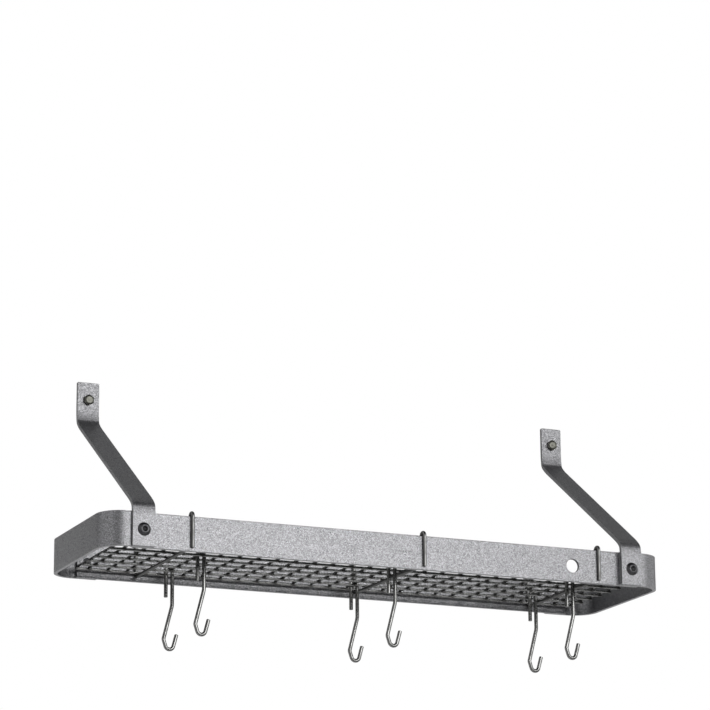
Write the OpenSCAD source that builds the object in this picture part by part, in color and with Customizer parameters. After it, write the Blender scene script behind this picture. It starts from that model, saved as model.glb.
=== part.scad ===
// Wall pot rack: a long flat-bar frame on two strap arms, with a lift-out wire shelf
// resting on three wire hangers and six double hooks hanging from the shelf.
// X runs along the wall, -Y comes out of the wall and Z is up. The origin is on the
// wall, midway between the two wall screws.

/* [Frame] */
// Length of the rack along the wall
rack_l = 781; // [600:1:1200]
// Depth from the wall to the front of the end bands
rack_d = 222; // [180:1:320]
// Height of the flat bar on edge
bar_h = 44.5; // [38:0.5:60]
// Thickness of the flat bar
bar_t = 4.76; // [3:0.02:6]
// Outside radius of the four corners
corner_r = 31.8; // [20:0.1:34]
// Reach of an end band's legs from the end of the rack
leg_reach = 66; // [62:1:80]
// Distance from the end of the rack to the end of a rail
rail_inset = 37; // [35:0.5:38]
// Height of the joint bolts above the bottom of the frame
joint_h = 21.4; // [19:0.1:24]
// Diameter of the spare hole in the front rail
spare_hole_d = 18; // [10:0.5:20]
// Distance of the spare hole from the right end of the rack
spare_hole_inset = 133; // [100:0.5:190]

/* [Arms] */
// Width of the strap
arm_w = 30; // [24:0.5:34]
// Distance from the end of the rack to the middle of an arm
arm_inset = 50.5; // [48:0.5:54]
// Height of the lower bend above the bottom of the frame
arm_low_h = 54; // [50:0.5:80]
// Height of the upper bend above the bottom of the frame
arm_high_h = 205.7; // [180:0.1:260]
// Height of the wall screws above the upper bend
screw_rise = 32.3; // [24:0.1:60]
// Length of the strap above the wall screw
arm_head = 23.8; // [18:0.1:30]
// Radius of the bends at the middle of the strap's thickness
arm_bend_r = 17; // [10:0.5:24]
// Radius of the corners at the two ends of a strap
arm_corner_r = 1.6; // [0.5:0.1:4]

/* [Joint bolts] */
// Shank diameter of the joint bolts
bolt_d = 9.5; // [6:0.1:10]
// Head diameter of the joint bolts
bolt_head_d = 17.4; // [14:0.1:20]
// Height of a button head
bolt_head_h = 5.2; // [4:0.1:7]
// Size across flats of the bolt's socket
bolt_socket = 6; // [4:0.1:7]
// Depth of the bolt's socket
bolt_socket_depth = 3.2; // [2:0.1:3.5]
// Depth of the cone of a flat head
flat_head_h = 3.8; // [3:0.1:4.2]

/* [Wall screws] */
// Shank diameter of the wall screws
screw_d = 7.9; // [6:0.1:9]
// Diameter of the smooth neck under a wall screw's head
screw_neck_d = 7.2; // [5:0.1:7.6]
// Size across flats of the hex head
screw_head_af = 12.7; // [10:0.1:14]
// Height of the hex head
screw_head_h = 5.4; // [4:0.1:7]
// Length of the wall screw inside the wall
screw_grip = 20; // [15:1:22]
// Length of the screw's point
screw_point = 6; // [4:0.5:8]

/* [Wire shelf] */
// Diameter of the shelf's wires
wire_d = 3.2; // [2.6:0.1:3.2]
// Distance from each end of the rack to the shelf, before its shift
shelf_end_gap = 30.5; // [30:0.5:60]
// Shift of the shelf to the right of the rack's middle
shelf_shift = 2.5; // [0:0.5:4]
// Number of long wires
long_count = 8; // [5:1:12]
// Distance from the front or back of the rack to the middle of the outer long wires
long_inset = 16.05; // [15.9:0.01:16.4]
// Spacing of the cross wires
cross_pitch = 25.85; // [20:0.05:40]
// Overhang of the long wires past the middle of the last cross wire
long_overhang = 3.1; // [2:0.1:3.2]
// Overhang of the cross wires past the middle of the outer long wires
cross_overhang = 2.5; // [2:0.1:3]
// Depth to which the crossing wires are sunk into each other at the welds
weld_sink = 0.3; // [0.1:0.1:0.5]

/* [Hangers] */
// Rod diameter of the hangers that carry the shelf
hanger_d = 4.6; // [4:0.1:4.7]
// Place of the left hanger along the rack
left_hanger_share = 0.1498; // [0.14:0.0001:0.16]
// Place of the middle hanger along the rack
middle_hanger_share = 0.5557; // [0.55:0.0001:0.56]
// Place of the right hanger along the rack
right_hanger_share = 0.8777; // [0.875:0.0001:0.88]
// Angle by which the middle hanger sits askew
middle_skew_angle = 2.3; // [0:0.1:2.5]
// Length of a hanger's outer tails below the top of the rails
hanger_tail = 40; // [20:1:42]
// Height of the hangers' cross bar above the bottom of the frame
hanger_bar_h = 6.3; // [5:0.1:9]
// Radius of the two bends at the ends of the cross bar
hanger_foot_r = 4; // [4:0.1:4.4]
// Clearance of a hanger's loop on each side of the rail
hanger_gap = 0.05; // [0:0.05:0.1]

/* [Pot hooks] */
// Rod diameter of the pot hooks
hook_d = 5; // [4:0.1:5.2]
// Length of the short leg below the wire it hangs on
hook_short = 35.4; // [25:0.1:40]
// Length of the upright part of the long leg
hook_long = 43.3; // [38:0.1:60]
// Length of the slanting part of the long leg
hook_slant = 41.8; // [30:0.1:48]
// Length of the straight between the knee and the hook's bowl
hook_side = 7.8; // [6:0.1:14]
// Length of the straight tip
hook_tip = 16.2; // [12:0.1:22]
// Slant of the long leg
hook_lean_angle = 14.5; // [10:0.5:20]
// Angle of the bowl's near side
hook_flare_angle = 18; // [8:0.5:20]
// Angle of the tip
hook_tip_angle = 15.5; // [8:0.5:20]
// Radius of the bend where the long leg starts to slant
hook_lean_r = 20; // [12:1:24]
// Radius of the knee above the bowl
hook_knee_r = 5.5; // [5:0.1:8]
// Radius of the bowl
hook_bowl_r = 5.6; // [5:0.1:6.5]

/* [Fits] */
// Clearance between parts that rest on or hang from each other
rest_gap = 0.3; // [0.2:0.05:0.4]
// Radial clearance of the screws and bolts in the straps and bands
hole_gap = 0.4; // [0.2:0.05:0.6]
// Radial clearance of the bolts in the tapped holes of the rails
thread_gap = 0.1; // [0.05:0.05:0.2]

/* [Hidden] */
$fn = 48;

// How far a cutting solid runs past the face it cuts
overrun = bar_t;
// Heights are counted from the bottom of the frame and moved down by this much at the end
screw_h = arm_high_h + screw_rise;
frame_z = -screw_h;
arm_x = rack_l / 2 - arm_inset;
spare_hole_x = rack_l / 2 - spare_hole_inset;
rail_l = rack_l - 2 * rail_inset;
joint_z = frame_z + joint_h;
// Distances back from the front of the frame become -Y distances from the wall
front_y = -rack_d;
// Run of the strap between its two bends and its slope away from upright
arm_rise = arm_high_h - arm_low_h;
arm_angle = atan2(rack_d, arm_rise);
arm_trim = arm_bend_r * tan(arm_angle / 2);
arm_run = norm([rack_d, arm_rise]) - 2 * arm_trim;
arm_top_h = screw_h + arm_head;

wire_r = wire_d / 2;
long_z = frame_z + hanger_bar_h + hanger_d / 2 + rest_gap + wire_r;
cross_z = long_z + wire_d - weld_sink;
long_span = rack_d - 2 * long_inset;
long_pitch = long_span / (long_count - 1);
first_long_y = front_y + long_inset;
shelf_l = rack_l - 2 * shelf_end_gap;
last_cross_x = shelf_shift + shelf_l / 2 - long_overhang;
first_cross_x = shelf_shift - shelf_l / 2 + long_overhang;
cross_l = long_span + 2 * cross_overhang;
// Cross wires at the regular spacing, leaving room for the odd one at the left end
cross_count = 1 + floor((last_cross_x - first_cross_x - 2 * wire_d) / cross_pitch);

hanger_r = hanger_d / 2;
loop_r = bar_t / 2 + hanger_r + hanger_gap;
tail_y = front_y + bar_t - hanger_r - hanger_gap;
inner_leg_offset = 2 * loop_r + bar_t - hanger_r - hanger_gap;
leg_spacing = rack_d - 2 * inner_leg_offset;
hanger_drop = bar_h - hanger_bar_h - hanger_foot_r;

// Sides of a pot hook's rod and the largest turn between two of its rings
rod_sides = 16;
ring_angle = 12.5;
half_turn = 180;
hook_r = hook_d / 2;
seat_r = wire_r + rest_gap + hook_r;
// Steps of a pot hook from the end of its short leg: straight length, bend radius, turn
hook_path = [
    [hook_short, seat_r, half_turn],
    [hook_long, hook_lean_r, hook_lean_angle],
    [hook_slant, hook_knee_r, -hook_lean_angle - hook_flare_angle],
    [hook_side, hook_bowl_r, hook_flare_angle + hook_tip_angle - half_turn],
    [hook_tip, 0, 0]];
// Hook places: along the row of cross wires from its right end, and back from the
// front long wire
hook_place_shares = [
    [0.85, 0.92], [0.85, 0.3114], [0.48, 0.8814],
    [0.48, 0.2386], [0.11, 0.8143], [0.11, 0.2414]];

// One bend of a swept bar, turning from +Z towards +X for a positive turn
module bend(r, turn) {
    mirror([turn < 0 ? 1 : 0, 0, 0])
        translate([r, 0, 0])
            rotate([90, 0, 180])
                rotate_extrude(angle = abs(turn))
                    translate([r, 0])
                        children();
}

// Sweeps its 2D child up from the origin along straights, each ending in a square bend
// or a half turn
module sweep(path, step = 0) {
    run = path[step][0];
    r = path[step][1];
    turn = path[step][2];
    linear_extrude(run)
        children();
    if (step < len(path) - 1)
        translate([0, 0, run]) {
            bend(r, turn)
                children();
            translate([sign(turn) * r * (1 - cos(turn)), 0, r * sin(abs(turn))])
                rotate([0, turn, 0])
                    sweep(path, step + 1)
                        children();
        }
}

// Places along a bent path in the XZ plane: each is a point and its heading, which turns
// from +Z towards +X
function places(path, step = 0, at = [0, 0], heading = 0) =
    let (
        turn = path[step][2],
        side_r = sign(turn) * path[step][1],
        bend_at = at + path[step][0] * [sin(heading), cos(heading)],
        centre = bend_at + side_r * across(heading),
        count = ceil(abs(turn) / ring_angle),
        bent = turn == 0 ? [[bend_at, heading]] : [
            for (k = [0 : count])
                let (h = heading + turn * k / count)
                    [centre - side_r * across(h), h]],
        end = bent[len(bent) - 1])
    concat(
        step == 0 ? [[at, heading]] : [],
        bent,
        step < len(path) - 1 ? places(path, step + 1, end[0], end[1]) : []);

// Direction square to a heading, on the side of a positive turn
function across(heading) = [cos(heading), -sin(heading)];

// Round rod along a bent path
module rod(path, r) {
    spots = places(path);
    count = len(spots) * rod_sides;
    polyhedron(
        [for (s = spots, k = [0 : rod_sides - 1])
            let (a = k * 360 / rod_sides, p = s[0] + r * cos(a) * across(s[1]))
                [p[0], r * sin(a), p[1]]],
        concat(
            [[for (k = [0 : rod_sides - 1]) k]],
            [[for (k = [1 : rod_sides]) count - k]],
            [for (s = [0 : len(spots) - 2], k = [0 : rod_sides - 1])
                let (this = s * rod_sides, next = this + rod_sides, n = (k + 1) % rod_sides)
                    [this + k, next + k, next + n, this + n]]));
}

// Flat rectangle with round corners, centred on the origin
module round_plate(length, depth, r) {
    square([length - 2 * r, depth], center = true);
    square([length, depth - 2 * r], center = true);
    for (x = [-1, 1], y = [-1, 1])
        translate([x * (length / 2 - r), y * (depth / 2 - r)])
            circle(r);
}

// Hole along Y, centred at the given place
module y_hole(x, y, z, d) {
    translate([x, y, z])
        rotate([90, 0, 0])
            cylinder(d = d, h = bar_t + 2 * overrun, center = true);
}

// Cone under the face of a flat-headed bolt, with its face at the origin
module flat_cone(gap) {
    translate([0, 0, -flat_head_h])
        cylinder(r1 = bolt_d / 2 + gap, r2 = bolt_head_d / 2 + gap, h = flat_head_h);
}

// U-shaped band round one end of the frame
module end_band(side) {
    color("dimgray")
        difference() {
            translate([0, front_y / 2, frame_z])
                linear_extrude(bar_h)
                    intersection() {
                        difference() {
                            round_plate(rack_l, rack_d, corner_r);
                            round_plate(rack_l - 2 * bar_t, rack_d - 2 * bar_t, corner_r - bar_t);
                        }
                        translate([side * (rack_l - leg_reach) / 2, 0])
                            square([leg_reach, rack_d], center = true);
                    }
            y_hole(side * arm_x, front_y, joint_z, bolt_d + 2 * hole_gap);
            y_hole(side * arm_x, 0, joint_z, bolt_d + 2 * hole_gap);
            translate([side * arm_x, 0, joint_z])
                rotate([-90, 0, 0]) {
                    flat_cone(thread_gap);
                    cylinder(d = bolt_head_d + 2 * thread_gap, h = overrun);
                }
        }
}

// Straight rail lapped inside the legs of both end bands, with tapped holes
module rail(y) {
    color("darkgray")
        difference() {
            translate([-rail_l / 2, y - bar_t / 2, frame_z])
                cube([rail_l, bar_t, bar_h]);
            for (side = [-1, 1])
                y_hole(side * arm_x, y, joint_z, bolt_d + 2 * thread_gap);
            children();
        }
}

module front_rail() {
    y = front_y + 1.5 * bar_t;
    rail(y)
        y_hole(spare_hole_x, y, joint_z, spare_hole_d);
}

// Side view of a strap: its two faces on either side of the bent path
module strap_outline() {
    spots = places([
        [arm_low_h - arm_trim, arm_bend_r, arm_angle],
        [arm_run, arm_bend_r, -arm_angle],
        [arm_top_h - arm_high_h - arm_trim, 0, 0]]);
    back = [for (s = spots) s[0] + bar_t / 2 * across(s[1])];
    front = [for (s = spots) s[0] - bar_t / 2 * across(s[1])];
    polygon(concat(back, [for (k = [len(front) - 1 : -1 : 0]) front[k]]));
}

// Strap from the front of the frame up to the wall
module arm(side) {
    color("gray")
        difference() {
            translate([side * arm_x, front_y - bar_t / 2, frame_z])
                intersection() {
                    rotate([90, 0, 90])
                        linear_extrude(arm_w, center = true)
                            strap_outline();
                    translate([0, rack_d + bar_t, arm_top_h / 2])
                        rotate([90, 0, 0])
                            linear_extrude(rack_d + 2 * bar_t)
                                round_plate(arm_w, arm_top_h, arm_corner_r);
                }
            y_hole(side * arm_x, front_y - bar_t, joint_z, bolt_d + 2 * hole_gap);
            y_hole(side * arm_x, 0, 0, screw_d + 2 * hole_gap);
        }
}

module shelf_long_wires() {
    color("silver")
        for (k = [0 : long_count - 1])
            translate([shelf_shift, first_long_y + k * long_pitch, long_z])
                rotate([0, 90, 0])
                    cylinder(r = wire_r, h = shelf_l, center = true);
}

// One cross wire on top of the long wires
module cross_wire(x) {
    translate([x, front_y / 2, cross_z])
        rotate([90, 0, 0])
            cylinder(r = wire_r, h = cross_l, center = true);
}

module shelf_cross_wires() {
    color("silver") {
        for (k = [0 : cross_count - 1])
            cross_wire(last_cross_x - k * cross_pitch);
        cross_wire(first_cross_x);
    }
}

// Wire hanger hooked over both rails, with its bar under the shelf
module hanger(place_share, skew) {
    color("lightgray")
        translate([(place_share - 1 / 2) * rack_l, tail_y, frame_z + bar_h - hanger_tail])
            rotate([0, 0, 90 + skew])
                sweep([
                    [hanger_tail, loop_r, half_turn],
                    [hanger_drop, hanger_foot_r, -90],
                    [leg_spacing / cos(skew) - 2 * hanger_foot_r, hanger_foot_r, -90],
                    [hanger_drop, loop_r, half_turn],
                    [hanger_tail, 0, 0]])
                    circle(hanger_r);
}

// Double hook hanging over a cross wire
module pot_hook(place) {
    color("slategray")
        translate([last_cross_x - round(place[0] * (cross_count - 1)) * cross_pitch - seat_r,
                first_long_y + place[1] * long_span, cross_z - hook_short])
            rod(hook_path, hook_r);
}

// Button-headed bolt through the strap, the band and the rail
module arm_bolt(side) {
    dome_r = (pow(bolt_head_d / 2, 2) + pow(bolt_head_h, 2)) / (2 * bolt_head_h);
    color("black")
        translate([side * arm_x, front_y - bar_t, joint_z])
            rotate([90, 0, 0])
                difference() {
                    union() {
                        intersection() {
                            translate([0, 0, bolt_head_h - dome_r])
                                sphere(dome_r);
                            cylinder(d = bolt_head_d, h = bolt_head_h);
                        }
                        translate([0, 0, -3 * bar_t])
                            cylinder(d = bolt_d, h = 3 * bar_t);
                    }
                    translate([0, 0, bolt_head_h - bolt_socket_depth])
                        cylinder(d = bolt_socket / cos(30), h = bolt_head_h, $fn = 6);
                }
}

// Flat-headed bolt from the wall side through the band into the rail
module rear_bolt(side) {
    color("black")
        translate([side * arm_x, 0, joint_z])
            rotate([-90, 0, 0])
                difference() {
                    union() {
                        flat_cone(0);
                        translate([0, 0, -2 * bar_t])
                            cylinder(d = bolt_d, h = 2 * bar_t - flat_head_h);
                    }
                    translate([0, 0, -bolt_socket_depth])
                        cylinder(d = bolt_socket / cos(30), h = 2 * bolt_socket_depth, $fn = 6);
                }
}

// Hex-headed screw that holds an arm to the wall
module wall_screw(side) {
    color("olivedrab")
        translate([side * arm_x, -bar_t, 0])
            rotate([90, 0, 0]) {
                intersection() {
                    rotate([0, 0, 30])
                        cylinder(d = screw_head_af / cos(30), h = screw_head_h, $fn = 6);
                    cylinder(r1 = screw_head_af / 2 + screw_head_h, r2 = screw_head_af / 2, h = screw_head_h);
                }
                translate([0, 0, -bar_t])
                    cylinder(d = screw_neck_d, h = bar_t);
                translate([0, 0, screw_point - bar_t - screw_grip])
                    cylinder(d = screw_d, h = screw_grip - screw_point);
                translate([0, 0, -bar_t - screw_grip])
                    cylinder(d1 = screw_d / 4, d2 = screw_d, h = screw_point);
            }
}

end_band(-1);  // left_end_band
end_band(1);  // right_end_band
front_rail();
rail(-1.5 * bar_t);  // rear_rail
arm(-1);  // left_arm
arm(1);  // right_arm
shelf_long_wires();
shelf_cross_wires();
hanger(left_hanger_share, 0);  // left_hanger
hanger(middle_hanger_share, middle_skew_angle);  // middle_hanger
hanger(right_hanger_share, 0);  // right_hanger
pot_hook(hook_place_shares[0]);  // left_rear_hook
pot_hook(hook_place_shares[1]);  // left_front_hook
pot_hook(hook_place_shares[2]);  // middle_rear_hook
pot_hook(hook_place_shares[3]);  // middle_front_hook
pot_hook(hook_place_shares[4]);  // right_rear_hook
pot_hook(hook_place_shares[5]);  // right_front_hook
arm_bolt(-1);  // left_arm_bolt
arm_bolt(1);  // right_arm_bolt
rear_bolt(-1);  // left_rear_bolt
rear_bolt(1);  // right_rear_bolt
wall_screw(-1);  // left_wall_screw
wall_screw(1);  // right_wall_screw
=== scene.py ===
"""Wall pot rack of flat bar with a lift-out wire shelf and double hooks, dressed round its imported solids.

Lengths are written in millimetres and turned into metres with MM, apart from the studio's, which are in
metres. X runs along the wall, -Y comes out of the wall and Z is up, from the middle of the line between
the two wall screws.
"""
import math

import bmesh
import bpy
from mathutils import Matrix, Vector


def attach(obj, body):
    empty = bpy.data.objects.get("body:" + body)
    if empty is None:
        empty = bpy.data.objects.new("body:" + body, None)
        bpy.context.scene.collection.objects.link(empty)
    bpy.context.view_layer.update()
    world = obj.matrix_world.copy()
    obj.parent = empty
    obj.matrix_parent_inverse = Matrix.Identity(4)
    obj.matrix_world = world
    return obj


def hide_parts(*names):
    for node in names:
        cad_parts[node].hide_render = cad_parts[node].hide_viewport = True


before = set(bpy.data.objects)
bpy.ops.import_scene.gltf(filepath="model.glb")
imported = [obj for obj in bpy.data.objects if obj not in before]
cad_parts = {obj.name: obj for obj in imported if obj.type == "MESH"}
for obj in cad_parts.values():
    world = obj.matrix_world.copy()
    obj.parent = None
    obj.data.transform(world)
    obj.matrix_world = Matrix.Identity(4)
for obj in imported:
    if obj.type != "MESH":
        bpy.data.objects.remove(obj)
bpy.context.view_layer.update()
MM = 0.001

# --- Studio -------------------------------------------------------------------------------------------
# The rack hangs in a white room and is seen from the left and from below, with a long lens. A broad soft
# lamp stands to the right in front of it and a weak one lies low in front. Only reflections see the dark
# and grey cards round it, so they show as patches in the metal and light nothing else.
LENS, SENSOR, VIEW_END = 159.44, 36, 200
CAMERA_PLACE = (-1.62197, -3.80144, -1.03081)
CAMERA_TURN = (105.2673, 0.4210, -23.5534)
RACK_MIDDLE = Vector((0, -0.11, -0.13))
ROOM_GREY, WHITE = (0.12, 0.12, 0.135, 1), (1, 1, 1, 1)
FLOOR_GREY, FLOOR_ROUGHNESS, FLOOR_GLOW = (0.5, 0.5, 0.5, 1), 0.9, 0.62
FLOOR_HEIGHT, FLOOR_RADIUS, FLOOR_SIDES = -2.3, 60, 96
# Name, place, width, height and power of each lamp, and the same of each card with its grey level
LAMPS = (("front_lamp", (0.78, -3.4, 0.46), 2.5, 1.4, 64), ("low_lamp", (-0.4, -2.2, -1.9), 1.6, 1.6, 3))
CARDS = (("card_above", (0.3, -1.2, 2.7), 6, 3.4, 0.0),
         ("card_front_above", (0.53, -2.62, 1.5), 3.2, 0.95, 0.05),
         ("card_behind_above", (0.8, 1.9, 2.2), 7, 3.2, 0.24),
         ("card_behind_left", (-2.4, 2.8, 0.72), 2.4, 1.5, 0.26),
         ("card_behind", (1.5, 2.8, 0.72), 5.2, 1.5, 0.14),
         ("card_left", (-2.9, 0.3, 0.35), 1.6, 2.2, 0.8),
         ("card_front_left", (-1.2, -2.85, 0.3), 1.7, 3.2, 0.0),
         ("card_low", (0.6, -2.3, -1.4), 5.2, 1.9, 0.06))


def add(tree, kind, inputs=None, **options):
    """Puts a node in a tree, with its options, and gives each input a value or another node's output."""
    node = tree.nodes.new(kind)
    for name, value in options.items():
        setattr(node, name, value)
    for name, value in (inputs or {}).items():
        if isinstance(value, bpy.types.NodeSocket):
            tree.links.new(value, node.inputs[name])
        else:
            node.inputs[name].default_value = value
    return node


def sums(tree, operation, *values):
    """One sum in a tree; a third value is a Multiply Add's."""
    return add(tree, "ShaderNodeMath", dict(enumerate(values)), operation=operation).outputs[0]


def mixed(tree, share, first, second):
    """The first colour where the share is 0 and the second where it is 1."""
    return add(tree, "ShaderNodeMix", {0: share, 6: first, 7: second}, data_type="RGBA").outputs[2]


def backdrop_rays(tree):
    """1 for the rays that look at the background: straight, mirrored or through glass."""
    path = add(tree, "ShaderNodeLightPath").outputs
    mirrored = sums(tree, "MAXIMUM", path["Is Glossy Ray"], path["Is Transmission Ray"])
    return sums(tree, "MAXIMUM", path["Is Camera Ray"], mirrored)


def in_scene(name, data):
    """A new object of the scene, at the origin."""
    obj = bpy.data.objects.new(name, data)
    bpy.context.scene.collection.objects.link(obj)
    return obj


def new_material(name):
    """An empty material and its tree."""
    material = bpy.data.materials.new(name)
    material.use_nodes = True
    material.node_tree.nodes.clear()
    return material, material.node_tree


def mesh_of(shell, name):
    """The mesh of a bmesh, which is freed."""
    mesh = bpy.data.meshes.new(name)
    shell.to_mesh(mesh)
    shell.free()
    return mesh


def lamp(name, place, width, height, power):
    """A broad soft lamp that faces the rack."""
    light = bpy.data.lights.new(name, "AREA")
    light.shape, light.size, light.size_y, light.energy = "RECTANGLE", width, height, power
    obj = in_scene(name, light)
    obj.location = place
    obj.rotation_euler = (RACK_MIDDLE - obj.location).to_track_quat("-Z", "Y").to_euler()


def card(name, place, width, height, level):
    """A card outside the view, which only shows as a patch of its grey level in the metal."""
    sheet = bmesh.new()
    bmesh.ops.create_grid(sheet, x_segments=1, y_segments=1, size=0.5)
    toward = (RACK_MIDDLE - Vector(place)).to_track_quat("Z", "Y").to_matrix().to_4x4()
    sheet.transform(Matrix.Translation(place) @ toward @ Matrix.Diagonal((width, height, 1, 1)))
    obj = in_scene(name, mesh_of(sheet, name))
    grey, tree = new_material(name)
    shown = add(tree, "ShaderNodeEmission", {"Color": WHITE, "Strength": level})
    add(tree, "ShaderNodeOutputMaterial", {"Surface": shown.outputs[0]})
    obj.data.materials.append(grey)
    obj.visible_camera = obj.visible_diffuse = obj.visible_shadow = False


lens = bpy.data.cameras.new("photo_camera")
lens.lens, lens.sensor_width, lens.clip_end = LENS, SENSOR, VIEW_END
camera = in_scene("photo_camera", lens)
camera.location = CAMERA_PLACE
camera.rotation_euler = [math.radians(a) for a in CAMERA_TURN]
bpy.context.scene.camera = camera
bpy.context.scene.view_settings.view_transform = "Standard"

world = bpy.data.worlds.new("white_room")
world.use_nodes = True
world.node_tree.nodes.clear()
bpy.context.scene.world = world
seen = mixed(world.node_tree, backdrop_rays(world.node_tree), ROOM_GREY, WHITE)
air = add(world.node_tree, "ShaderNodeBackground", {"Color": seen}).outputs[0]
add(world.node_tree, "ShaderNodeOutputWorld", {"Surface": air})

pale_floor, tree = new_material("pale_floor")
glow = sums(tree, "MULTIPLY", backdrop_rays(tree), FLOOR_GLOW)
paint = add(tree, "ShaderNodeBsdfPrincipled", {"Base Color": FLOOR_GREY, "Roughness": FLOOR_ROUGHNESS,
                                               "Emission Color": WHITE, "Emission Strength": glow})
add(tree, "ShaderNodeOutputMaterial", {"Surface": paint.outputs[0]})
ground = bmesh.new()
bmesh.ops.create_circle(ground, cap_ends=True, segments=FLOOR_SIDES, radius=FLOOR_RADIUS,
                        matrix=Matrix.Translation((0, 0, FLOOR_HEIGHT)))
floor = in_scene("floor", mesh_of(ground, "floor"))
floor.data.materials.append(pale_floor)

for name, place, width, height, power in LAMPS:
    lamp(name, place, width, height, power)
for name, place, width, height, level in CARDS:
    card(name, place, width, height, level)

# --- End bands ----------------------------------------------------------------------------------------
# Each end of the rack is one U of hot-rolled flat bar on edge, bent cold round a former, its cut ends
# and its long edges a little rounded. It is bolted to both rails and coated in hammered grey paint.
RACK_LENGTH, RACK_DEPTH = 781.0, 222.0
BAR_HEIGHT, BAR_THICK, BAR_BOTTOM = 44.5, 4.76, -238.0
CORNER_RADIUS, LEG_REACH, CUT_CORNER = 31.8, 66.0, 1.4
BOLT_INSET, BOLT_HEIGHT = 50.5, 21.4
BOLT_RADIUS, HEAD_RADIUS, FLAT_HEAD = 4.75, 8.7, 3.8
HOLE_PLAY, SNUG = 0.4, 0.1
DRILL_OVERRUN, TURNED_SIDES = 4, 48
BOLT_X = RACK_LENGTH / 2 - BOLT_INSET
BOLT_Z = BAR_BOTTOM + BOLT_HEIGHT
BEND_STEP_DEGREES = 6
EDGE_SOFT, EDGE_SEGMENTS, EDGE_DEGREES = 0.55, 2, 30
# A cut end is known by its four edges, all sharper than END_SHARP radians, and by its area, which is less
# than END_SHARE of a bar's full section. Its short edges are the bar's thickness long, give or take END_SLACK.
END_SHARP, END_SHARE, END_SLACK, CORNER_SEGMENTS, SAME_PLACE = 1.2, 1.2, 0.1, 4, 0.005
SIDES = (("left", -1), ("right", 1))
INTO_WALL, UP = (0, 1, 0), (0, 0, 1)


def bent_path(steps):
    """Points of a bent bar in its own plane: straight run, bend radius and turn, from +V towards +U."""
    at, heading = Vector((0, 0)), 0
    points = [at]
    for run, radius, turn in steps:
        along = Vector((math.sin(heading), math.cos(heading)))
        at = at + run * along
        points.append(at)
        angle = math.radians(turn)
        side = math.copysign(radius, angle)
        centre = at + side * Vector((math.cos(heading), -math.sin(heading)))
        count = math.ceil(abs(turn) / BEND_STEP_DEGREES)
        for k in range(1, 1 + count):
            now = heading + angle * k / count
            at = centre - side * Vector((math.cos(now), -math.sin(now)))
            points.append(at)
        heading += angle
    return points


def laid(points, start, u_way, v_way):
    """The points of a flat path, in metres, laid from a start along two directions."""
    return [(Vector(start) + u * Vector(u_way) + v * Vector(v_way)) * MM for u, v in points]


def socket(tree, name, kind, way="INPUT"):
    """Gives a tree one more named input or output."""
    tree.interface.new_socket(name, in_out=way, socket_type="NodeSocket" + kind)


def new_growth(name, **sockets):
    """A geometry tree with these inputs, and its group input's outputs."""
    tree = bpy.data.node_groups.new(name, "GeometryNodeTree")
    tree.is_modifier = True
    socket(tree, "Geometry", "Geometry", "OUTPUT")
    socket(tree, "Geometry", "Geometry")
    for label, kind in sockets.items():
        socket(tree, label.replace("_", " "), kind)
    return tree, add(tree, "NodeGroupInput").outputs


def close_growth(tree, geometry, material):
    """Ends a tree in plain faces with their material."""
    plain = add(tree, "GeometryNodeRealizeInstances", {"Geometry": geometry}).outputs[0]
    painted = add(tree, "GeometryNodeSetMaterial", {"Geometry": plain, "Material": material}).outputs[0]
    add(tree, "NodeGroupOutput", {"Geometry": painted})


def grown(tree, points, joined=True, **settings):
    """The plain mesh that a tree makes of a row of points, joined into a line or not."""
    edges = [(k, k + 1) for k in range(len(points) - 1)] if joined else []
    row = bpy.data.meshes.new(tree.name)
    row.from_pydata(points, edges, [])
    seed = bpy.data.objects.new(tree.name, row)
    growth = seed.modifiers.new(tree.name, "NODES")
    growth.node_group = tree
    for item in tree.interface.items_tree:
        label = item.name.replace(" ", "_")
        if item.in_out == "INPUT" and label in settings:
            growth[item.identifier] = settings[label]
    bpy.context.scene.collection.objects.link(seed)
    depsgraph = bpy.context.evaluated_depsgraph_get()
    mesh = bpy.data.meshes.new_from_object(seed.evaluated_get(depsgraph), preserve_all_data_layers=True,
                                           depsgraph=depsgraph)
    bpy.data.objects.remove(seed)
    return mesh


def lofted(rings):
    """A closed shell through rings of as many points each."""
    shell = bmesh.new()
    rows = [[shell.verts.new(p) for p in ring] for ring in rings]
    count = len(rows[0])
    for low, high in zip(rows, rows[1:]):
        for k in range(count):
            shell.faces.new((low[k], low[(k + 1) % count], high[(k + 1) % count], high[k]))
    shell.faces.new(rows[0][::-1])
    shell.faces.new(rows[-1])
    return shell


def turned(profile, place, way, sides=TURNED_SIDES):
    """A turned or hexagonal piece: each ring has a height, a radius and the half width of its flats or 0.

    It stands at a place in millimetres, along a direction. A point's place on the turned piece itself is
    kept in the attribute "turned".
    """
    flat_turn = math.pi / 3
    rings = []
    for height, radius, flats in profile:
        ring = []
        for k in range(sides):
            a = 2 * math.pi * k / sides
            from_flat = (a + flat_turn / 2) % flat_turn - flat_turn / 2
            reach = min(radius, flats / math.cos(from_flat)) if flats else radius
            ring.append(Vector((math.cos(a), math.sin(a), 0)) * reach + Vector((0, 0, height)))
        rings.append(ring)
    shell = lofted(rings)
    bmesh.ops.recalc_face_normals(shell, faces=shell.faces)
    own = shell.verts.layers.float_vector.new("turned")
    for v in shell.verts:
        v[own] = v.co
    turn = Vector(way).to_track_quat("Z", "Y").to_matrix().to_4x4()
    shell.transform(Matrix.Scale(MM, 4) @ Matrix.Translation(place) @ turn)
    return mesh_of(shell, "turned")


def cutter(name, *meshes):
    """One hidden object of several turned meshes, for cutting holes."""
    whole = bmesh.new()
    for mesh in meshes:
        whole.from_mesh(mesh)
    return bpy.data.objects.new(name, mesh_of(whole, name))


def smooth(mesh, sharp_degrees=32):
    """Shades a mesh smooth up to an angle."""
    mesh.shade_smooth()
    mesh.set_sharp_from_angle(angle=math.radians(sharp_degrees))


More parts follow.
